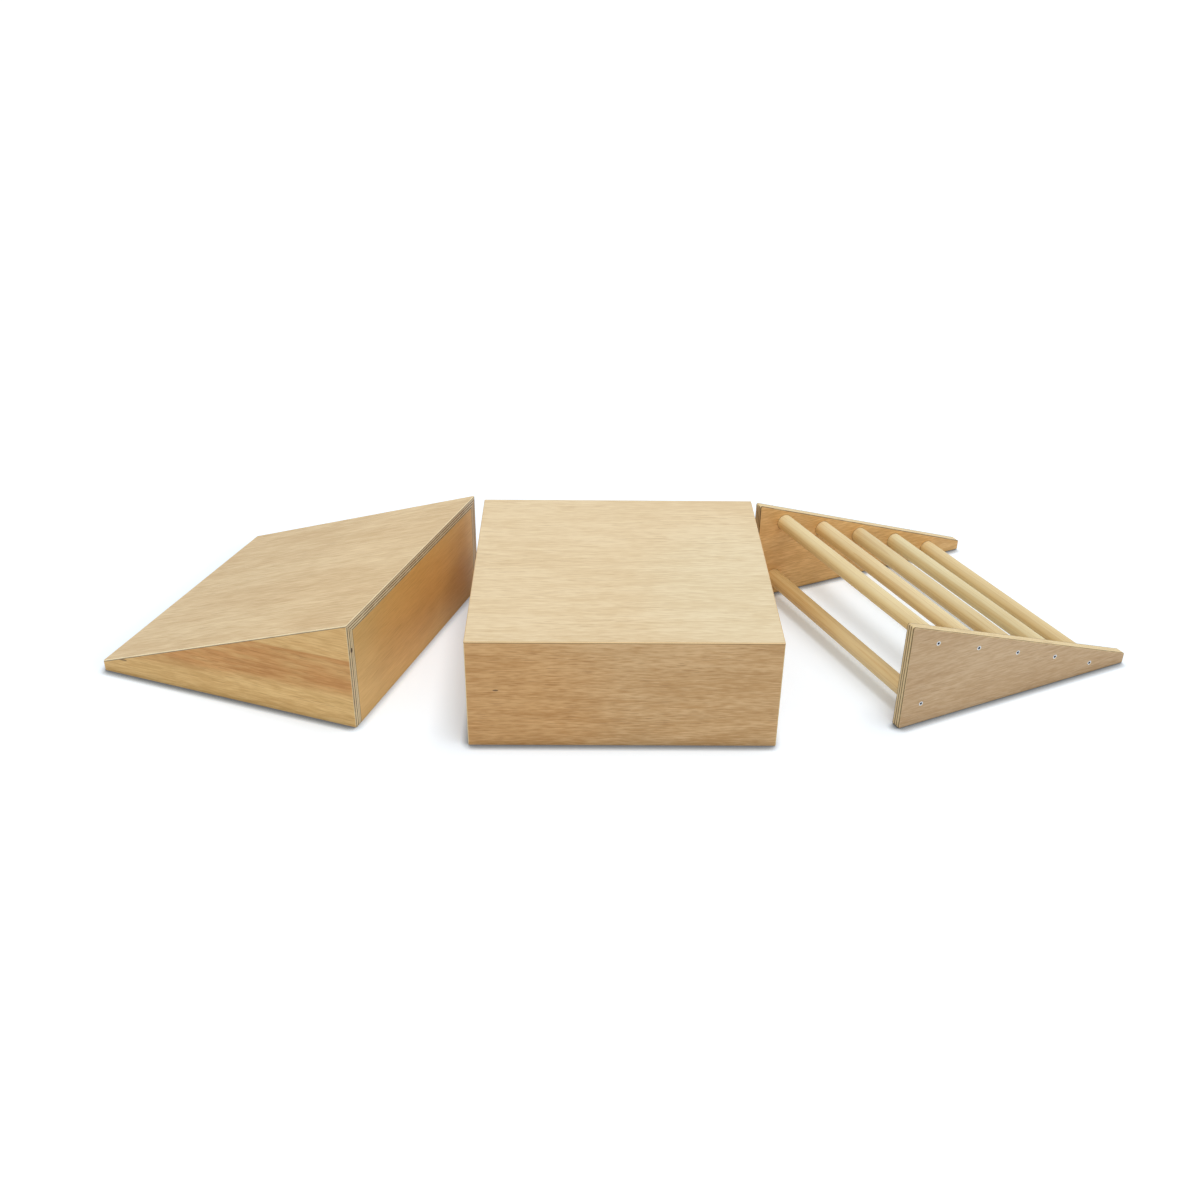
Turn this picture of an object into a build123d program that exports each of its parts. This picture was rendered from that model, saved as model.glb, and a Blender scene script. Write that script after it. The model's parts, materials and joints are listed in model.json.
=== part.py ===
from build123d import *
import os
from math import atan2, cos, hypot, radians, sin, tan

# A low climbing set for toddlers, in plywood and dowel. Three loose units stand side by side on
# the floor: a ramp, a nearly square platform and a rung ladder. The ramp and the platform are
# mitred shells, open underneath. All three units are equally high, so that their tops meet when
# they are pushed together.
#
# Millimetres and degrees. +Z is up, the floor is z = 0, the front is -Y, the ramp is at -X and the
# ladder at +X. The origin is on the floor, under the middle of the whole layout.

# ---------------------------------------------------------------- driving dimensions

deck_height = 200.0  # top of the platform, and of the high end of both wedges
unit_width = 500.0  # front to back, on the platform and the ramp
platform_length = 505.0
ramp_length = 500.0
ladder_length = 496.0
ladder_width = 490.0
tip_height = 20.0  # what is left of a wedge's height at its low end
sheet = 18.0  # plywood

# Mitred shells of the ramp and the platform
lip = 3.0  # square edge left above each mitre, so that the arris doesn't cut into the joint
arris = 1.2  # taken off all outer edges above the floor after the glue-up
batten = 20.0  # square section of the glue battens and corner posts inside
floor_gap = 6.0  # battens and posts stop this far above the floor

# Ladder
ladder_corner = 3.0  # corners of the side panels, seen from the side
ladder_arris = 1.0
rung_radius = 15.0
rung_count = 5  # up the slope; one more runs low across the high end
rung_depth = 23.0  # from the slope down to a rung's axis, square to the slope
last_rung_depth = 27.0  # the last rung sits a little deeper than the others
first_rung = 68.0  # along the slope, from the high corner to the first rung
last_rung = 79.0  # along the slope, from the last rung to the low corner
low_rung_inset = 40.0  # from the high end to the low rung's axis
low_rung_height = 40.0
socket_depth = 8.0  # blind socket for each rung end
socket_clearance = 0.1
rung_end_clearance = 0.25

# Countersunk screw through a side panel into a rung's end
screw_length = 50.0
screw_radius = 2.0
screw_head_radius = 4.0
screw_sink = 0.3  # the head lies this far below the panel's face
screw_head_clearance = 0.1  # round the head in its countersink
screw_clearance = 0.2  # round the shank in the panel
thread_clearance = 0.05  # round the shank in the rung
pilot_spare = 2.0  # the rung is drilled this much deeper than the screw reaches
drive_radius = 1.6  # hexagonal drive recess, across its corners
drive_depth = 1.6

# How the units stand: the wedges are fanned out, back corners next to the platform's
ramp_fan = 19.8  # angle between the ramp and the line of the platform
ramp_gap = 20.0  # from the platform's side to the ramp's back high corner
ramp_stagger = 16.0  # that corner stands this far behind the platform's back
ladder_fan = 24.5
ladder_gap = 9.0
ladder_stagger = -6.0
closed_gap = 1.0  # left between the units when they are turned into line

# ---------------------------------------------------------------- layout

half_width = unit_width / 2
ladder_half = ladder_width / 2
deck_under = deck_height - sheet


def high_end(fan, gap, stagger, half):
    """Middle of a wedge's high end: how far out from the platform's centre, and how far back.
    half is half the wedge's width."""
    out = platform_length / 2 + gap + half * sin(radians(fan))
    back = half_width + stagger - half * cos(radians(fan))
    return out, back


def reach(fan, out, back, length, half):
    """How far out and how far back a fanned wedge reaches from the platform's centre."""
    far_out = out + length * cos(radians(fan)) + half * sin(radians(fan))
    far_back = back + length * sin(radians(fan)) + half * cos(radians(fan))
    return far_out, far_back


def turning_axis(fan, out, back):
    """Where the upright line stands about which a wedge turns into line with the platform."""
    home = platform_length / 2 + closed_gap
    lever = 1 / (2 * tan(radians(fan) / 2))
    return (out + home) / 2 - lever * back, back / 2 + lever * (out - home)


ramp_out, ramp_back = high_end(ramp_fan, ramp_gap, ramp_stagger, half_width)
ladder_out, ladder_back = high_end(ladder_fan, ladder_gap, ladder_stagger, ladder_half)
ramp_reach, ramp_reach_back = reach(ramp_fan, ramp_out, ramp_back, ramp_length, half_width)
ladder_reach, ladder_reach_back = reach(
    ladder_fan, ladder_out, ladder_back, ladder_length, ladder_half
)
centre_x = (ladder_reach - ramp_reach) / 2
centre_y = (max(ramp_reach_back, ladder_reach_back) - half_width) / 2

# Each wedge is drawn from the middle of its high end, with x running downhill.
platform_place = Location((-centre_x, -centre_y, 0))
ramp_place = Location((-ramp_out - centre_x, ramp_back - centre_y, 0), (0, 0, 180 - ramp_fan))
ladder_place = Location((ladder_out - centre_x, ladder_back - centre_y, 0), (0, 0, ladder_fan))


def seat(place, plane):
    """A plane of a unit's own drawing, carried to where the unit stands."""
    return Plane(place * plane.location)


def mitre(place, edge, up, inward):
    """Mitre from a lip under an outer edge to the inner corner of two sheets. Its normal points
    to the upper sheet. edge is a point of the edge; up and inward are square to the two sheets."""
    up, inward = Vector(up), Vector(inward)
    return seat(place, Plane(Vector(edge) - up * lip, z_dir=up * sheet + inward * (sheet - lip)))


def upright(side, y):
    """A wedge's upright lengthwise plane at y, looked at from side: -1 or 1. Up is up, and x
    runs downhill for side -1 and uphill for side 1."""
    return Plane(origin=(0, y, 0), x_dir=(-side, 0, 0), z_dir=(0, side, 0))


def outline(place, y, points):
    """A face through (downhill, up) points, on a wedge's upright plane at y."""
    with BuildSketch(seat(place, upright(-1, y))) as drawn:
        with BuildLine():
            Polyline(*points, close=True)
        make_face()
    return drawn.sketch


os.makedirs("parts", exist_ok=True)

# ---------------------------------------------------------------- platform

# Outer form of the glued-up box, with its arrises off. Every panel is trimmed to it.
with BuildPart() as platform_form:
    with BuildSketch(seat(platform_place, Plane.XY)):
        Rectangle(platform_length, unit_width)
    extrude(amount=deck_height)
    floor_edges = platform_form.faces().sort_by(Axis.Z)[0].edges()
    chamfer([edge for edge in platform_form.edges() if edge not in floor_edges], length=arris)

# Each wall is drawn as if it faced the front, then turned about the platform's centre:
# name, turn, length along the wall, distance of its face from the centre.
platform_walls = [
    ("front", 0, platform_length, half_width),
    ("right", 90, unit_width, platform_length / 2),
    ("back", 180, platform_length, half_width),
    ("left", 270, unit_width, platform_length / 2),
]


def wall_place(turn):
    return platform_place * Location((0, 0, 0), (0, 0, turn))


def top_mitre(turn, face):
    return mitre(wall_place(turn), (0, -face, deck_height), (0, 0, 1), (0, 1, 0))


with BuildPart() as platform_top:
    with BuildSketch(seat(platform_place, Plane.XY.offset(deck_under))):
        Rectangle(platform_length, unit_width)
    extrude(amount=sheet)
    for _, turn, _, face in platform_walls:
        split(bisect_by=top_mitre(turn, face), keep=Keep.TOP)
    add(platform_form.part, mode=Mode.INTERSECT)
platform_top.part.label = "platform_top"
export_step(platform_top.part, "parts/platform_top.step")

for name, turn, length, face in platform_walls:
    with BuildPart() as platform_wall:
        with BuildSketch(seat(wall_place(turn), Plane.XY)):
            with BuildLine():
                Polyline(
                    (-length / 2, -face),
                    (length / 2, -face),
                    (length / 2 - sheet, sheet - face),
                    (sheet - length / 2, sheet - face),
                    close=True,
                )
            make_face()
        extrude(amount=deck_height)
        split(bisect_by=top_mitre(turn, face), keep=Keep.BOTTOM)
        add(platform_form.part, mode=Mode.INTERSECT)
    platform_wall.part.label = f"platform_{name}"
    export_step(platform_wall.part, f"parts/platform_{name}.step")

# Battens glued along the top of each wall, under the top. The front and back ones run from
# wall to wall, and the side ones fit between them.
for name, turn, length, face in platform_walls:
    shortening = 2 * sheet if name in ("front", "back") else 2 * (sheet + batten)
    with BuildPart() as platform_batten:
        with BuildSketch(seat(wall_place(turn), Plane.XY.offset(deck_under))):
            with Locations((0, sheet - face)):
                Rectangle(length - shortening, batten, align=(Align.CENTER, Align.MIN))
        extrude(amount=-batten)
    platform_batten.part.label = f"platform_batten_{name}"
    export_step(platform_batten.part, f"parts/platform_batten_{name}.step")

# Corner posts, under the battens
for side, x in (("left", -1), ("right", 1)):
    for end, y in (("front", -1), ("back", 1)):
        with BuildPart() as platform_post:
            with BuildSketch(seat(platform_place, Plane.XY.offset(floor_gap))):
                post_x = x * (platform_length / 2 - sheet - batten / 2)
                post_y = y * (half_width - sheet - batten / 2)
                with Locations((post_x, post_y)):
                    Rectangle(batten, batten)
            extrude(amount=deck_under - batten - floor_gap)
        platform_post.part.label = f"platform_post_{end}_{side}"
        export_step(platform_post.part, f"parts/platform_post_{end}_{side}.step")

# ---------------------------------------------------------------- ramp

ramp_slope = atan2(deck_height - tip_height, ramp_length)
ramp_up = (sin(ramp_slope), 0, cos(ramp_slope))  # square to the slope
plumb_sheet = sheet / cos(ramp_slope)  # measured straight down
plumb_batten = batten / cos(ramp_slope)
ramp_inside = half_width - sheet
wedge_outline = [(0, 0), (ramp_length, 0), (ramp_length, tip_height), (0, deck_height)]
ramp_sides = [("front", 1), ("back", -1)]  # the ramp's x runs to -X, so its +y is the front


def under_deck(x):
    """Height of the underside of the ramp's deck."""
    return deck_height - plumb_sheet - x * tan(ramp_slope)


def corner_strip(side):
    """Lower y of a strip one batten wide, along the inside of a side panel."""
    return min(side * ramp_inside, side * (ramp_inside - batten))


def ramp_mitre(side):
    return mitre(ramp_place, (0, side * half_width, deck_height), ramp_up, (0, -side, 0))


with BuildPart() as ramp_form:
    extrude(outline(ramp_place, -half_width, wedge_outline), amount=-unit_width)
    floor_edges = ramp_form.faces().sort_by(Axis.Z)[0].edges()
    chamfer([edge for edge in ramp_form.edges() if edge not in floor_edges], length=arris)

with BuildPart() as ramp_deck:
    deck_outline = [
        (0, deck_height),
        (ramp_length, tip_height),
        (ramp_length, under_deck(ramp_length)),
        (0, under_deck(0)),
    ]
    extrude(outline(ramp_place, -half_width, deck_outline), amount=-unit_width)
    for _, side in ramp_sides:
        split(bisect_by=ramp_mitre(side), keep=Keep.TOP)
    add(ramp_form.part, mode=Mode.INTERSECT)
ramp_deck.part.label = "ramp_deck"
export_step(ramp_deck.part, "parts/ramp_deck.step")

for name, side in ramp_sides:
    with BuildPart() as ramp_side:
        lower_y = min(side * half_width, side * ramp_inside)
        extrude(outline(ramp_place, lower_y, wedge_outline), amount=-sheet)
        split(bisect_by=ramp_mitre(side), keep=Keep.BOTTOM)
        add(ramp_form.part, mode=Mode.INTERSECT)
    ramp_side.part.label = f"ramp_side_{name}"
    export_step(ramp_side.part, f"parts/ramp_side_{name}.step")

# The panel that closes the high end stands between the sides and under the deck.
with BuildPart() as ramp_end:
    end_outline = [(0, 0), (sheet, 0), (sheet, under_deck(sheet)), (0, under_deck(0))]
    extrude(outline(ramp_place, -ramp_inside, end_outline), amount=-2 * ramp_inside)
ramp_end.part.label = "ramp_end"
export_step(ramp_end.part, "parts/ramp_end.step")

# Glue battens in the corner between the deck and each side, and along the top of the end panel
batten_foot = (under_deck(0) - plumb_batten - floor_gap) / tan(ramp_slope)
for name, side in ramp_sides:
    with BuildPart() as ramp_batten:
        batten_outline = [
            (sheet, under_deck(sheet)),
            (batten_foot, under_deck(batten_foot)),
            (batten_foot, floor_gap),
            (sheet, under_deck(sheet) - plumb_batten),
        ]
        extrude(outline(ramp_place, corner_strip(side), batten_outline), amount=-batten)
    ramp_batten.part.label = f"ramp_batten_{name}"
    export_step(ramp_batten.part, f"parts/ramp_batten_{name}.step")

with BuildPart() as ramp_batten_end:
    cross_outline = [
        (sheet, under_deck(sheet) - batten),
        (sheet + batten, under_deck(sheet) - batten),
        (sheet + batten, under_deck(sheet + batten)),
        (sheet, under_deck(sheet)),
    ]
    cross_half = ramp_inside - batten
    extrude(outline(ramp_place, -cross_half, cross_outline), amount=-2 * cross_half)
ramp_batten_end.part.label = "ramp_batten_end"
export_step(ramp_batten_end.part, "parts/ramp_batten_end.step")

for name, side in ramp_sides:
    with BuildPart() as ramp_post:
        post_outline = [
            (sheet, floor_gap),
            (sheet + batten, floor_gap),
            (sheet + batten, under_deck(sheet + batten) - plumb_batten),
            (sheet, under_deck(sheet) - plumb_batten),
        ]
        extrude(outline(ramp_place, corner_strip(side), post_outline), amount=-batten)
    ramp_post.part.label = f"ramp_post_{name}"
    export_step(ramp_post.part, f"parts/ramp_post_{name}.step")

# ---------------------------------------------------------------- ladder

ladder_slope = atan2(deck_height - tip_height, ladder_length)
slope_length = hypot(ladder_length, deck_height - tip_height)
rung_pitch = (slope_length - first_rung - last_rung) / (rung_count - 1)
panel_left = sheet - socket_depth  # thickness between a socket and the outer face


def below_slope(along, depth):
    """A point of the ladder's side, from its high corner: along the slope, then square to it."""
    x = along * cos(ladder_slope) - depth * sin(ladder_slope)
    z = deck_height - along * sin(ladder_slope) - depth * cos(ladder_slope)
    return x, z


rung_depths = [rung_depth] * (rung_count - 1) + [last_rung_depth]
sloping_seats = [
    below_slope(first_rung + i * rung_pitch, depth) for i, depth in enumerate(rung_depths)
]
rung_seats = sloping_seats + [(low_rung_inset, low_rung_height)]
rung_names = [f"ladder_rung_{i + 1}" for i in range(rung_count)] + ["ladder_rung_low"]

# One screw, its head up at the origin. Its thread and point are hidden in the rung, and left off.
with BuildPart() as screw:
    with BuildSketch(Plane.XZ):
        with BuildLine():
            Polyline(
                (0, 0),
                (screw_head_radius, 0),
                (screw_radius, screw_radius - screw_head_radius),
                (screw_radius, -screw_length),
                (0, -screw_length),
                close=True,
            )
        make_face()
    revolve(axis=Axis.Z)
    with BuildSketch(Plane.XY):
        RegularPolygon(drive_radius, side_count=6)
    extrude(amount=-drive_depth, mode=Mode.SUBTRACT)

for name, side in (("front", -1), ("back", 1)):
    outer = seat(ladder_place, upright(side, side * ladder_half))
    inner = seat(ladder_place, upright(-side, side * (ladder_half - sheet)))
    # x runs downhill on a plane seen from the front and uphill on one seen from the back
    outer_seats = [outer.location * Location((-side * x, z, 0)) for x, z in rung_seats]
    inner_seats = [inner.location * Location((side * x, z, 0)) for x, z in rung_seats]

    with BuildPart() as ladder_side:
        with BuildSketch(outer) as side_outline:
            with BuildLine():
                Polyline(
                    (0, 0),
                    (-side * ladder_length, 0),
                    (-side * ladder_length, tip_height),
                    (0, deck_height),
                    close=True,
                )
            make_face()
            fillet(side_outline.vertices(), radius=ladder_corner)
        extrude(amount=-sheet)
        faces = ladder_side.faces().sort_by(SortBy.AREA)[-2:]
        chamfer([edge for panel_face in faces for edge in panel_face.edges()], length=ladder_arris)
        with Locations(*inner_seats):
            Hole(rung_radius + socket_clearance, depth=socket_depth)
        with Locations(*outer_seats):
            CounterSinkHole(
                screw_radius + screw_clearance,
                screw_head_radius + screw_sink + screw_head_clearance,
                depth=panel_left,
                counter_sink_angle=90,
            )
    ladder_side.part.label = f"ladder_side_{name}"
    export_step(ladder_side.part, f"parts/ladder_side_{name}.step")

    with BuildPart() as ladder_screws:
        with Locations(*(hole * Location((0, 0, -screw_sink)) for hole in outer_seats)):
            add(screw.part)
    ladder_screws.part.label = f"ladder_screws_{name}"
    export_step(ladder_screws.part, f"parts/ladder_screws_{name}.step")

rung_half = ladder_half - panel_left - rung_end_clearance
pilot_depth = screw_length + screw_sink - panel_left - rung_end_clearance + pilot_spare
for name, (x, z) in zip(rung_names, rung_seats):
    with BuildPart() as rung:
        middle = seat(ladder_place, upright(-1, 0))
        with BuildSketch(middle):
            with Locations((x, z)):
                Circle(rung_radius)
        extrude(amount=rung_half, both=True)
        for side in (-1, 1):
            end = seat(ladder_place, upright(side, side * rung_half))
            with Locations(end.location * Location((-side * x, z, 0))):
                Hole(screw_radius + thread_clearance, depth=pilot_depth)
    rung.part.label = name
    export_step(rung.part, f"parts/{name}.step")

# ---------------------------------------------------------------- turning axes

for name, side, fan, out, back in (
    ("ramp", -1, ramp_fan, ramp_out, ramp_back),
    ("ladder", 1, ladder_fan, ladder_out, ladder_back),
):
    axis_out, axis_back = turning_axis(fan, out, back)
    print(f"{name} turns about x {side * axis_out - centre_x:.3f}, y {axis_back - centre_y:.3f}")
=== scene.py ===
import json
from math import pi, radians

import bpy
from mathutils import Matrix, Vector


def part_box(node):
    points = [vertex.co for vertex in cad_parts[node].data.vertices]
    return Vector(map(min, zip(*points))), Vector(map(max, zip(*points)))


# The looks of the climbing set: plywood, dowel, softwood and zinc for the CAD nodes, on a white
# floor under a softbox. Metres, in the frame's own axes: +Z is up and the front is -Y.

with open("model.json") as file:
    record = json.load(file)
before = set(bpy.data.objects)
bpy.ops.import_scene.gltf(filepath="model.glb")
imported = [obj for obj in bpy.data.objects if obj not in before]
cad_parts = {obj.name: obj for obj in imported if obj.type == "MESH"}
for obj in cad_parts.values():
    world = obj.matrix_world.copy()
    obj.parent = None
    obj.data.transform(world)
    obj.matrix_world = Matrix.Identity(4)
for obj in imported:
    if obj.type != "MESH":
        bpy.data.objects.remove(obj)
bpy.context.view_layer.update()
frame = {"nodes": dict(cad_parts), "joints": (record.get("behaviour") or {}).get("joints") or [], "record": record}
nodes = frame["nodes"]
joints = {joint["name"]: joint for joint in frame["joints"]}
mounts = {mount["name"]: mount for mount in frame["record"]["mounts"]}

# ---------------------------------------------------------------- the three units

# Each unit has its own directions: a wedge's x runs downhill. The wedges' turns at rest are
# their joints' distances to the closed row.
unit_turn = {
    "platform": 0.0,
    "ramp": pi - radians(joints["ramp_turn"]["range_deg"][1]),
    "ladder": -radians(joints["ladder_turn"]["range_deg"][0]),
}


def unit(node):
    return node.split("_")[0]


def to_row(node, direction):
    """A direction of a node's unit, in the frame."""
    return (Matrix.Rotation(unit_turn[unit(node)], 3, "Z") @ Vector(direction)).normalized()


def grain_axes(node, facing, grain):
    """Directions along the grain, across it and inward from a node's outer face, and the lowest
    corner of the node along them."""
    inward = -to_row(node, facing)
    along = to_row(node, grain)
    axes = Matrix((along, inward.cross(along), inward))
    points = [axes @ vertex.co for vertex in nodes[node].data.vertices]
    return axes, Vector(map(min, zip(*points)))


def extent(node, direction):
    """How far a node reaches along a direction of its unit: lowest and highest."""
    reaches = [vertex.co.dot(to_row(node, direction)) for vertex in nodes[node].data.vertices]
    return min(reaches), max(reaches)


mm = 0.001
platform_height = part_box("platform_top")[1].z
ramp_length = extent("ramp_deck", (1, 0, 0))[1] - extent("ramp_deck", (1, 0, 0))[0]
tip_height = 20 * mm
down_slope = (ramp_length, 0, tip_height - platform_height)
off_slope = (platform_height - tip_height, 0, ramp_length)

# ---------------------------------------------------------------- material graphs


def rgb(red, green, blue):
    return (red, green, blue, 1.0)


def shade(colour, red, green, blue):
    return rgb(colour[0] * red, colour[1] * green, colour[2] * blue)


def add_node(tree, kind, inputs=None, **settings):
    """A node with its settings. Each input is a value, or the socket that it is linked to."""
    made = tree.nodes.new(kind)
    for key, value in settings.items():
        setattr(made, key, value)
    for key, value in (inputs or {}).items():
        if isinstance(value, bpy.types.NodeSocket):
            tree.links.new(value, made.inputs[key])
        else:
            made.inputs[key].default_value = value
    return made


def add_math(tree, operation, *values):
    inputs = dict(enumerate(values))
    return add_node(tree, "ShaderNodeMath", inputs, operation=operation).outputs[0]


class Graph:
    """The node tree of one material, with short names for what it is made of."""

    def __init__(self, name):
        self.material = bpy.data.materials.new(name)
        self.material.use_nodes = True
        self.tree = self.material.node_tree
        self.shader = self.tree.nodes["Principled BSDF"]
        self.place = self.node("ShaderNodeTexCoord")

    def node(self, kind, inputs=None, **settings):
        return add_node(self.tree, kind, inputs, **settings)

    def math(self, operation, *values):
        return add_math(self.tree, operation, *values)

    def total(self, *shares):
        """Parts added up, each times its share."""
        result = 0.0
        for part, share in shares:
            result = self.math("ADD", result, self.math("MULTIPLY", part, share))
        return result

    def mostly(self, value, share):
        """A value of 0 to 1 turned into one from 1 less the share to 1."""
        return self.math("ADD", self.math("MULTIPLY", value, share), 1 - share)

    def squares(self, first, second):
        """The sum of two squares."""
        return self.math("ADD", self.math("MULTIPLY", first, first),
                         self.math("MULTIPLY", second, second))

    def turned(self, vector, axes, corner=None):
        """A point, or with no corner a direction, in the axes of a sheet or stick."""
        inputs = {"Vector": vector, "Rotation": axes.to_euler("XYZ")}
        if corner is None:
            return self.node("ShaderNodeMapping", inputs, vector_type="VECTOR").outputs[0]
        inputs["Location"] = -corner
        return self.node("ShaderNodeMapping", inputs, vector_type="POINT").outputs[0]

    def parts(self, vector):
        return self.node("ShaderNodeSeparateXYZ", {0: vector}).outputs

    def noise(self, vector, stretch, seed, detail=2.0):
        """Noise with so many features a metre along each axis."""
        inputs = {"Vector": vector, "Scale": stretch, "Location": (seed, 3.7 * seed, 7.3 * seed)}
        moved = self.node("ShaderNodeMapping", inputs, vector_type="POINT").outputs[0]
        inputs = {"Vector": moved, "Scale": 1.0, "Detail": detail}
        return self.node("ShaderNodeTexNoise", inputs, noise_dimensions="3D").outputs[0]

    def between(self, value, low, high):
        """0 up to low and 1 from high on, or the other way round."""
        inputs = {"Value": value, "From Min": low, "From Max": high}
        return self.node("ShaderNodeMapRange", inputs, interpolation_type="SMOOTHSTEP").outputs[0]

    def mix(self, factor, first, second):
        inputs = {0: factor, 6: first, 7: second}
        return self.node("ShaderNodeMix", inputs, data_type="RGBA").outputs[2]

    def dye(self, factor, colour, by):
        """A colour multiplied by another."""
        inputs = {0: factor, 6: colour, 7: by}
        made = self.node("ShaderNodeMix", inputs, data_type="RGBA", blend_type="MULTIPLY")
        return made.outputs[2]

    def dab(self, point, centre, size, plane, inner, outer):
        """1 in an ellipse on a face, fading at its rim. Inner and outer are where it fades, as
        squares of the distance from the centre over the ellipse's radius."""
        across, up = (self.parts(point)[i] for i in plane)
        x = self.math("DIVIDE", self.math("SUBTRACT", across, centre[0]), size[0] / 2)
        y = self.math("DIVIDE", self.math("SUBTRACT", up, centre[1]), size[1] / 2)
        return self.between(self.squares(x, y), outer, inner)

    def line(self, coordinate, offset, half_width):
        """1 at an offset along a coordinate, fading to 0 beside it."""
        away = self.math("ABSOLUTE", self.math("SUBTRACT", coordinate, offset))
        return self.between(away, half_width, half_width / 3)

    def finish(self, node, colour, roughness, height, relief):
        """Gives the node this material. A height of 1 stands for the relief, in metres."""
        bump = self.node("ShaderNodeBump", {"Height": height, "Distance": relief, "Strength": 0.6})
        self.tree.links.new(colour, self.shader.inputs["Base Color"])
        self.tree.links.new(roughness, self.shader.inputs["Roughness"])
        self.tree.links.new(bump.outputs[0], self.shader.inputs["Normal"])
        slots = nodes[node].data.materials
        slots.clear()
        slots.append(self.material)


# ---------------------------------------------------------------- wood

glue_brown = rgb(0.16, 0.085, 0.03)
knot_brown = rgb(0.09, 0.05, 0.025)
heart_red = rgb(0.78, 0.585, 0.46)  # times the veneer's own colour
pale_ply = rgb(0.88, 0.72, 0.42)
wood_specular = 0.35

# Dark plies and glue lines across an edge: depth below the outer face and half width in
# millimetres, and darkness on an edge across the grain and on one along it
deck_lines = [(7.0, 1.5, 1.0, 0.7), (11.8, 1.5, 1.0, 0.6), (16.6, 1.4, 1.0, 0.6)]
side_lines = [(1.8, 1.6, 1.0, 0.7), (7.6, 1.6, 1.0, 0.3), (12.4, 1.2, 0.6, 0.2),
              (17.2, 1.3, 0.8, 0.6)]
ladder_lines = [(1.3, 1.4, 0.95, 0.9), (7.0, 1.6, 0.9, 0.15), (12.0, 1.6, 0.9, 0.1),
                (17.1, 1.7, 0.95, 0.95)]
wall_lines = [(2.4, 1.2, 0.7, 0.5), (7.0, 1.2, 0.6, 0.4), (11.4, 1.2, 0.6, 0.4),
              (16.0, 1.2, 0.6, 0.5)]


def tones(tint, contrast, darker, lighter):
    """A tint's darkest and lightest tones, further apart as contrast grows. Darker and lighter
    are the changes of its red, green and blue at a contrast of 1."""
    return (shade(tint, *(1 - contrast * share for share in darker)),
            shade(tint, *(1 + contrast * share for share in lighter)))


def veneer(graph, point, tint, seed, contrast, run):
    """Face veneer: soft bands, fine fibres and short dark pores along the grain, longer as run
    grows. Gives the colour, and the height of the fibres."""
    fibre = graph.noise(point, (30, 900, 0), seed)
    cloud = graph.noise(point, (1.5, 7, 0), seed + 23, 1)
    figure = graph.noise(point, (2, 12, 0), seed + 37, 1)
    ring = graph.math("PINGPONG", graph.math("MULTIPLY", figure, 11), 1)
    dash = graph.noise(point, (48 / run, 400, 0), seed + 11)
    streak = graph.noise(point, (12 / run, 150, 0), seed + 17, 3)
    tone = graph.total((fibre, 0.15), (dash, 0.45), (streak, 0.17), (cloud, 0.16), (ring, 0.07))
    shade_round_drive, light = tones(tint, contrast, (0.17, 0.25, 0.36), (0.06, 0.07, 0.09))
    colour = graph.mix(graph.between(tone, 0.38, 0.62), shade_round_drive, light)
    pore = graph.between(graph.noise(point, (38 / run, 560, 0), seed + 51, 1), 0.58, 0.70)
    patch = graph.between(graph.noise(point, (6, 20, 0), seed + 53, 1), 0.35, 0.65)
    pore = graph.math("MULTIPLY", pore, graph.mostly(patch, 0.7))
    pore_colour = shade(tint, 0.62, 0.52, 0.42)
    colour = graph.mix(graph.math("MULTIPLY", pore, 0.65 * contrast), colour, pore_colour)
    return colour, graph.math("SUBTRACT", fibre, graph.math("MULTIPLY", pore, 0.5))


def plies(graph, point, normal, seed, lines, ply):
    """Laminations on a plywood edge: pale wood crossed by wavering dark plies."""
    waver = graph.math("MULTIPLY", graph.noise(point, (14, 14, 14), seed, 1), 1.0 * mm)
    depth = graph.math("ADD", graph.parts(point)[2], graph.math("SUBTRACT", waver, 0.5 * mm))
    fibres = graph.noise(point, (400, 400, 1500), seed + 5)
    blotch = graph.noise(point, (25, 25, 250), seed + 9, 1)
    colour = graph.mix(graph.between(fibres, 0.7, 0.35), ply, shade(ply, 0.86, 0.80, 0.70))
    colour = graph.mix(graph.between(blotch, 0.5, 0.7), colour, shade(ply, 0.80, 0.75, 0.69))
    gaps = graph.between(graph.noise(point, (60, 60, 60), seed + 13, 1), 0.3, 0.5)
    gaps = graph.mostly(gaps, 0.25)
    ends = graph.between(graph.math("ABSOLUTE", graph.parts(normal)[0]), 0.5, 0.9)
    for offset, half_width, across, along in lines:
        darkness = graph.math("ADD", graph.math("MULTIPLY", ends, across - along), along)
        line = graph.line(depth, offset * mm, half_width * mm)
        line = graph.math("MULTIPLY", line, graph.math("MULTIPLY", gaps, darkness))
        colour = graph.mix(line, colour, glue_brown)
    return colour


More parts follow.
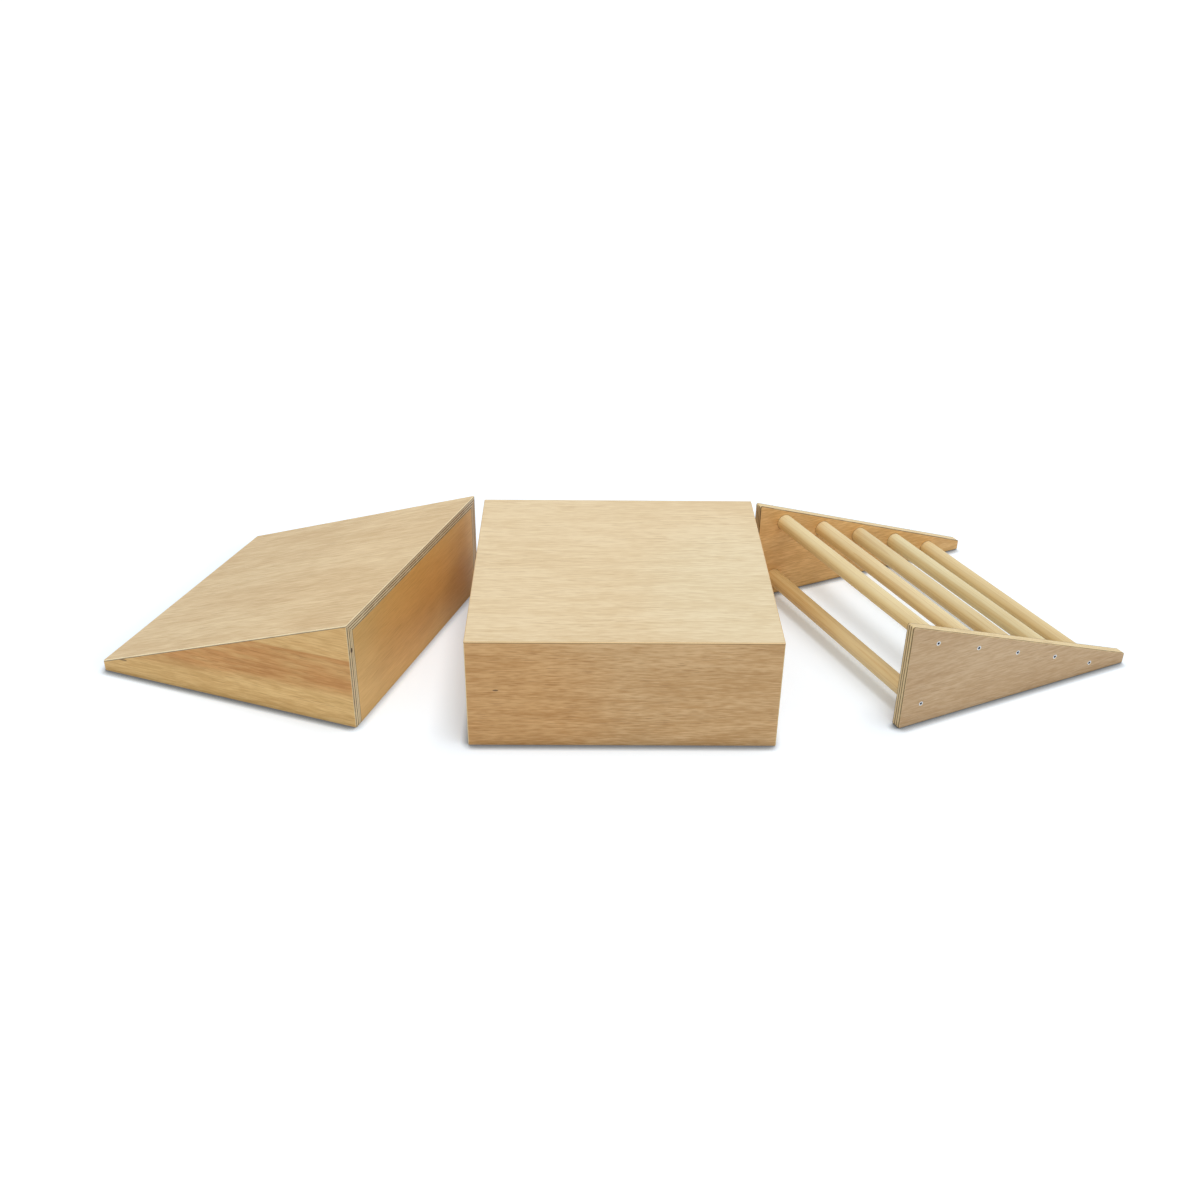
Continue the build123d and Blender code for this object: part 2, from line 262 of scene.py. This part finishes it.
def plywood(node, facing, grain, tint, seed, contrast=1.0, lines=wall_lines, ply=pale_ply,
            run=1.0, inner=None, figure=(), inner_figure=(), marks=()):
    """Material of one plywood sheet. Each figure paints over its outer veneer, or over the inner
    one, and each mark over the whole sheet."""
    graph = Graph(f"plywood_{node}")
    axes, corner = grain_axes(node, facing, grain)
    point = graph.turned(graph.place.outputs["Object"], axes, corner)
    normal = graph.turned(graph.place.outputs["Normal"], axes)
    face, height = veneer(graph, point, tint, seed, contrast, run)
    for paint in figure:
        face = paint(graph, point, face)
    if inner:
        other, _ = veneer(graph, point, inner, seed + 91, 1.2 * contrast, run)
        for paint in inner_figure:
            other = paint(graph, point, other)
        face = graph.mix(graph.between(graph.parts(normal)[2], -0.1, 0.1), face, other)
    flatness = graph.math("ABSOLUTE", graph.parts(normal)[2])
    on_face = graph.between(flatness, 0.85, 0.95)
    colour = graph.mix(on_face, plies(graph, point, normal, seed, lines, ply), face)
    for paint in marks:
        colour = paint(graph, point, colour)
    roughness = graph.math("ADD", graph.math("MULTIPLY", height, -0.12), 0.56)
    graph.shader.inputs["Specular IOR Level"].default_value = wood_specular
    graph.finish(node, colour, roughness, height, 0.12 * mm)


# Paints for single sheets and rungs. Places and sizes are in millimetres, along the grain and
# across it from the piece's lowest corner. A plane names two other coordinates: 0 is along, 1
# across and 2 inward.


def seam(depth, half_width, strength, tone=glue_brown):
    """A line along a sheet's edge at a depth below its face, dark for a joint, or pale for a painted highlight on
    an arris.
    """
    def paint(graph, point, colour):
        line = graph.line(graph.parts(point)[2], depth * mm, half_width * mm)
        return graph.mix(graph.math("MULTIPLY", line, strength), colour, tone)
    return paint


def rim(centre, radius, half_width=1.3, strength=0.7):
    """A thin dark ring where a round piece enters a face: painted shade in the gap round it, over the joint's
    glue. The centre is a point in metres.
    """
    def paint(graph, point, colour):
        along, across, _ = graph.parts(point)
        x = graph.math("SUBTRACT", along, centre.x)
        y = graph.math("SUBTRACT", across, centre.y)
        away = graph.math("SQRT", graph.squares(x, y))
        ring = graph.line(away, radius * mm, half_width * mm)
        return graph.mix(graph.math("MULTIPLY", ring, strength), colour, glue_brown)
    return paint


def in_metres(millimetres):
    return [value * mm for value in millimetres]


def tinge(centre, size, colour_factor, plane=(0, 1)):
    """A wide patch of another tone, soft all over."""
    def paint(graph, point, colour):
        where = graph.dab(point, in_metres(centre), in_metres(size), plane, 0.0, 1.6)
        return graph.dye(where, colour, colour_factor)
    return paint


def swirls(stretch, seed, pale, deep):
    """Slow changes of tone all over a face, with so many a metre along each axis."""
    def paint(graph, point, colour):
        cloud = graph.between(graph.noise(point, stretch, seed, 2), 0.3, 0.7)
        return graph.dye(1.0, colour, graph.mix(cloud, pale, deep))
    return paint


def knot(centre, size, strength, plane=(0, 1)):
    """A small dark knot or stain."""
    def paint(graph, point, colour):
        where = graph.dab(point, in_metres(centre), in_metres(size), plane, 0.7, 1.3)
        return graph.mix(graph.math("MULTIPLY", where, strength), colour, knot_brown)
    return paint


def heartwood(top, bottom, bottom_fall, seed):
    """A reddish band. Its top is level and sharp, and its bottom falls along the grain and is
    soft."""
    def paint(graph, point, colour):
        along, across, _ = graph.parts(point)
        waver = graph.math("MULTIPLY", graph.noise(point, (9, 30, 0), seed, 1), 6 * mm)
        over = graph.math("ADD", across, waver)
        under = graph.math("ADD", over, graph.math("MULTIPLY", along, bottom_fall))
        band = graph.math("MULTIPLY", graph.between(over, (top + 2) * mm, (top - 1) * mm),
                          graph.between(under, (bottom - 20) * mm, (bottom + 10) * mm))
        streak = graph.between(graph.noise(point, (11, 75, 0), seed + 5, 3), 0.3, 0.6)
        band = graph.math("MULTIPLY", band, graph.mostly(streak, 0.5))
        red = graph.dye(band, colour, heart_red)
        above = graph.between(over, (top - 1) * mm, (top + 2) * mm)
        return graph.dye(above, red, rgb(0.99, 0.97, 0.97))
    return paint


def middles(names, node, facing, grain):
    """The middles of other pieces, in a sheet's own axes."""
    axes, corner = grain_axes(node, facing, grain)
    boxes = [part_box(name) for name in names]
    return [axes @ ((Vector(low) + Vector(high)) / 2) - corner for low, high in boxes]


front, back, left, right, up = (0, -1, 0), (0, 1, 0), (-1, 0, 0), (1, 0, 0), (0, 0, 1)
top_tint = rgb(0.79, 0.64, 0.41)
front_tint = rgb(0.68, 0.445, 0.22)
rungs = sorted(name for name in nodes if "_rung_" in name)
rung_radius = 15  # millimetres

plywood("platform_top", up, right, top_tint, seed=1, contrast=0.61, lines=(), run=1.2,
        ply=shade(front_tint, 1.1, 1.1, 1.05),
        figure=[tinge((450, 330), (330, 460), rgb(1.02, 1.07, 1.12))],  # paler at the front right
        # A dark joint line, and a pale line along the arris that is a painted highlight
        marks=[seam(2.4, 0.9, 0.7), seam(0.9, 0.8, 0.6, pale_ply)])
plywood("platform_front", front, right, front_tint, seed=2, contrast=1.22, run=1.15,
        figure=[swirls((9, 60, 0), 6, rgb(1.03, 1.03, 1.035), rgb(0.965, 0.955, 0.94)),
                tinge((20, 120), (420, 380), rgb(0.98, 0.88, 0.74)),  # warmer at the left
                knot((47, 89), (9, 3.2), 0.8)])
plywood("platform_right", right, back, front_tint, seed=3, contrast=1.2)
plywood("platform_back", back, left, front_tint, seed=4, contrast=1.2)
plywood("platform_left", left, front, front_tint, seed=5, contrast=1.2)

plywood("ramp_deck", off_slope, down_slope, rgb(0.73, 0.563, 0.328), seed=6, contrast=0.9,
        lines=deck_lines, ply=rgb(0.98, 0.86, 0.60), run=1.8,
        figure=[swirls((3, 14, 0), 5, rgb(1.04, 1.05, 1.06), rgb(0.97, 0.94, 0.90)),
                tinge((500, 250), (600, 900), rgb(0.94, 0.94, 0.94))],  # darker at the low end
        marks=[seam(2.3, 1.2, 0.8)])
# The ramp is turned round, so the side at the front faces its own back.
plywood("ramp_side_front", back, right, rgb(0.815, 0.54, 0.222), seed=7, contrast=0.9,
        lines=side_lines, ply=rgb(0.94, 0.79, 0.50), run=1.25,
        figure=[swirls((7, 30, 0), 2, rgb(1.03, 1.03, 1.04), rgb(0.96, 0.95, 0.93)),
                heartwood(top=133, bottom=72, bottom_fall=0.04, seed=4),
                knot((458, 31), (20, 4), 0.7)],
        marks=[knot((148, 8.5), (9, 6), 1.0, plane=(1, 2))])
plywood("ramp_side_back", front, right, front_tint, seed=8, lines=side_lines, run=1.6,
        ply=rgb(0.90, 0.68, 0.40))
plywood("ramp_end", left, back, rgb(0.81, 0.515, 0.184), seed=9, contrast=0.5, run=1.6,
        figure=[tinge((250, 120), (300, 260), rgb(1.06, 0.97, 0.84)),  # golden in the middle
                # The pale far top corner is a painted highlight; the dark patch below it is painted shade where
                # the platform stands close, over veneer that is darker there too
                tinge((30, 130), (330, 300), rgb(1.1, 1.13, 1.19)),  # pale at the far top corner
                tinge((60, 25), (170, 150), rgb(0.84, 0.76, 0.72)),  # and dark below it
                swirls((4, 9, 0), 3, rgb(1.07, 1.07, 1.07), rgb(0.93, 0.91, 0.88))])

ladder_tint = rgb(0.625, 0.44, 0.258)
for name, facing, seed in (("ladder_side_front", front, 10), ("ladder_side_back", back, 11)):
    sockets = middles(rungs, name, facing, right)
    plywood(name, facing, right, ladder_tint, seed, contrast=0.85, lines=ladder_lines,
            figure=[swirls((4, 13, 0), seed + 4, rgb(1.05, 1.06, 1.07), rgb(0.965, 0.945, 0.92))],
            inner=rgb(0.86, 0.55, 0.235),
            inner_figure=[swirls((7, 16, 0), seed, rgb(1.07, 1.05, 1.02), rgb(0.92, 0.90, 0.87))]
            + [rim(place, rung_radius) for place in sockets])


def timber(node, along, tint, seed, ring_width, contrast=1.0, figure=()):
    """Material of a stick of solid wood: growth rings about a pith beside the stick, and fine
    fibres."""
    graph = Graph(f"timber_{node}")
    facing = (0, 0, 1) if abs(Vector(along).z) < 0.5 else (1, 0, 0)
    axes, corner = grain_axes(node, facing, along)
    point = graph.turned(graph.place.outputs["Object"], axes, corner)
    _, across, inward = graph.parts(point)
    wander = graph.math("MULTIPLY", graph.noise(point, (2.5, 25, 25), seed, 1), 6 * mm)
    side = graph.math("ADD", graph.math("ADD", across, wander), (20 + 9 * (seed % 3)) * mm)
    depth = graph.math("ADD", inward, (15 + 8 * (seed % 4)) * mm)
    rings = graph.math("DIVIDE", graph.math("SQRT", graph.squares(side, depth)), ring_width)
    late = graph.between(graph.math("FRACT", rings), 0.45, 1.0)
    fibre = graph.noise(point, (18, 900, 900), seed + 3)
    cloud = graph.noise(point, (5, 30, 30), seed + 7, 1)
    tone = graph.total((late, 0.16), (fibre, 0.37), (cloud, 0.47))
    shade_round_drive, light = tones(tint, contrast, (0.14, 0.24, 0.36), (0.04, 0.05, 0.07))
    colour = graph.mix(graph.between(tone, 0.75, 0.25), shade_round_drive, light)
    for paint in figure:
        colour = paint(graph, point, colour)
    roughness = graph.math("ADD", graph.math("MULTIPLY", fibre, 0.15), 0.45)
    graph.shader.inputs["Specular IOR Level"].default_value = wood_specular
    graph.finish(node, colour, roughness, fibre, 0.1 * mm)


dowel_tint = rgb(0.80, 0.65, 0.365)
rung_tones_and_light = {
    "ladder_rung_1": (1.02, 1.05, 1.09),
    "ladder_rung_2": (1.01, 1.025, 1.07),
    "ladder_rung_3": (0.95, 0.975, 1.02),
    "ladder_rung_4": (0.97, 1.04, 1.13),
    "ladder_rung_5": (0.95, 0.93, 0.91),
    # The low rung is lighter as painted light where rung 1 shades it
    "ladder_rung_low": (1.10, 1.08, 1.03),
}
# Lighter and warmer on the flank of each rung that lies in shade: painted light
painted_light_flank = tinge((0, 20), (26, 32), rgb(1.10, 1.02, 0.84), plane=(1, 2))
dark_far_end = tinge((440, 0), (420, 400), rgb(0.94, 0.86, 0.74))
for number, name in enumerate(rungs, 1):
    figure = [dark_far_end if name == "ladder_rung_low" else painted_light_flank]
    timber(name, back, shade(dowel_tint, *rung_tones_and_light[name]), number, 3 * mm, 0.9, figure)

batten_tint = rgb(0.80, 0.64, 0.42)
posts = sorted(name for name in nodes if "_post_" in name)
battens = sorted(name for name in nodes if "_batten_" in name)
lengthwise = {name: up for name in posts}
for name in battens:
    lengthwise[name] = back if name.split("_")[-1] in ("left", "right", "end") else right
lengthwise["ramp_batten_front"] = lengthwise["ramp_batten_back"] = down_slope
for first_seed, sticks in ((21, posts), (41, battens)):
    for seed, name in enumerate(sticks, first_seed):
        timber(name, lengthwise[name], batten_tint, seed, 2.5 * mm, 1.3)

# ---------------------------------------------------------------- screws

# Size of the painted shade round each screw's drive
drive_shade = (4.6 * mm, 4.6 * mm)  # across and up


def zinc(node, facing):
    """Bright zinc, with painted shade in the drive recess and round it."""
    graph = Graph(f"zinc_{node}")
    axes, corner = grain_axes(node, facing, right)
    point = graph.turned(graph.place.outputs["Object"], axes, corner)
    mottle = graph.noise(point, (900, 900, 900), 3, 3)
    colour = graph.mix(mottle, rgb(0.50, 0.52, 0.54), rgb(0.78, 0.79, 0.80))
    recess_shade = graph.between(graph.parts(point)[2], 0.1 * mm, 0.5 * mm)
    for place in middles(rungs, node, facing, right):
        shade_round_drive = graph.math("MULTIPLY", graph.dab(point, place, drive_shade, (0, 1), 0.8, 1.3), 0.9)
        recess_shade = graph.math("MAXIMUM", recess_shade, shade_round_drive)
    colour = graph.mix(recess_shade, colour, rgb(0.03, 0.03, 0.035))
    roughness = graph.math("ADD", graph.math("MULTIPLY", mottle, 0.2), 0.3)
    graph.shader.inputs["Metallic"].default_value = 1.0
    graph.finish(node, colour, roughness, mottle, 0.03 * mm)


zinc("ladder_screws_front", front)
zinc("ladder_screws_back", back)

# ---------------------------------------------------------------- floor and light


def seen_directly(tree):
    """1 for rays from the camera and for mirror images."""
    path = add_node(tree, "ShaderNodeLightPath")
    total = path.outputs["Is Camera Ray"]
    for kind in ("Is Glossy Ray", "Is Transmission Ray"):
        total = add_math(tree, "MAXIMUM", total, path.outputs[kind])
    return total


def white_floor(size, tone, gain, glow, shades):
    """A floor that looks white and keeps the set's shadow. Where it is seen directly, its tone
    is times the gain, and it glows. Each shade darkens the floor beside what stands on it: how
    far that may be, the direction it lies in, how open the view that way is where the shade is
    darkest and where it ends, and how much of the tone the darkest place keeps."""
    bpy.ops.mesh.primitive_plane_add(size=size)
    floor = bpy.context.object
    floor.name = "floor"
    material = bpy.data.materials.new("floor")
    material.use_nodes = True
    tree = material.node_tree
    tree.nodes.remove(tree.nodes["Principled BSDF"])
    openness = 1.0
    for reach, toward, (darkest, end), kept in shades:
        aim = add_node(tree, "ShaderNodeCombineXYZ", dict(zip("XYZ", toward))).outputs[0]
        inputs = {"Distance": reach, "Normal": aim}
        near = add_node(tree, "ShaderNodeAmbientOcclusion", inputs).outputs["AO"]
        inputs = {"Value": near, "From Min": darkest, "From Max": end, "To Min": kept}
        level = add_node(tree, "ShaderNodeMapRange", inputs).outputs[0]
        openness = add_math(tree, "MULTIPLY", openness, level)
    seen = seen_directly(tree)
    inputs = {"Value": seen, "To Min": 1.0, "To Max": gain}
    brighter = add_node(tree, "ShaderNodeMapRange", inputs).outputs[0]
    scale = add_math(tree, "MULTIPLY", openness, brighter)
    colour = add_node(tree, "ShaderNodeVectorMath", {0: tone, "Scale": scale}, operation="SCALE")
    paint = add_node(tree, "ShaderNodeBsdfDiffuse", {"Color": colour.outputs[0]})
    strength = add_math(tree, "MULTIPLY", openness, seen)
    inputs = {"Color": rgb(glow, glow, glow), "Strength": strength}
    lift = add_node(tree, "ShaderNodeEmission", inputs)
    both = add_node(tree, "ShaderNodeAddShader", {0: paint.outputs[0], 1: lift.outputs[0]})
    tree.links.new(both.outputs[0], tree.nodes["Material Output"].inputs["Surface"])
    floor.data.materials.append(material)


def white_world(strength):
    """Even light from all round. Seen directly it is plain white."""
    world = bpy.data.worlds.new("studio")
    bpy.context.scene.world = world
    world.use_nodes = True
    tree = world.node_tree
    inputs = {"Value": seen_directly(tree), "To Min": strength}
    scale = add_node(tree, "ShaderNodeMapRange", inputs).outputs[0]
    background = tree.nodes["Background"]
    tree.links.new(scale, background.inputs["Strength"])
    background.inputs["Color"].default_value = rgb(1, 1, 1)


def softbox(name, elevation, bearing, spread, strength):
    """Light from far away, as wide in the sky as its spread, in degrees. A bearing is 0 for
    light from the front and 90 for light from the right."""
    light = bpy.data.lights.new(name, "SUN")
    light.angle = radians(spread)
    light.energy = strength
    lamp = bpy.data.objects.new(name, light)
    lamp.rotation_euler = (radians(90 - elevation), 0, radians(bearing))
    bpy.context.scene.collection.objects.link(lamp)


white_floor(size=30.0, tone=(0.702, 0.765, 0.828), gain=1.25, glow=0.17, shades=[
    (18 * mm, (0.25, 0.85, 0.45), (0.42, 0.92), 0.2),  # a thin dark line in front
    (75 * mm, (1.0, -0.5, 0.25), (0.45, 1.0), 0.83),  # a soft shade to the left
])
white_world(strength=0.52)
softbox("key", elevation=83, bearing=80, spread=26, strength=1.28)
softbox("fill", elevation=30, bearing=0, spread=60, strength=0.5)

# ---------------------------------------------------------------- camera

# Fitted to the photograph: the place from the middle of the platform's top, at a height above
# the floor, and the turns in degrees
camera_offset, camera_height = (-0.0680, -1.9599), 1.2938
camera_down, camera_yaw, camera_roll = 30.734, -0.945, 0.786
platform_middle = mounts["platform_deck"]["pos_m"]
camera_data = bpy.data.cameras.new("camera")
camera_data.lens = 38.96
camera_data.sensor_width = 36.0
camera = bpy.data.objects.new("camera", camera_data)
camera_place = (platform_middle[0] + camera_offset[0], platform_middle[1] + camera_offset[1],
                camera_height)
camera.matrix_world = (
    Matrix.Translation(camera_place)
    @ Matrix.Rotation(radians(camera_yaw), 4, "Z")
    @ Matrix.Rotation(radians(90 - camera_down), 4, "X")
    @ Matrix.Rotation(radians(camera_roll), 4, "Z")
)
bpy.context.scene.collection.objects.link(camera)
bpy.context.scene.camera = camera
bpy.context.scene.view_settings.view_transform = "Standard"
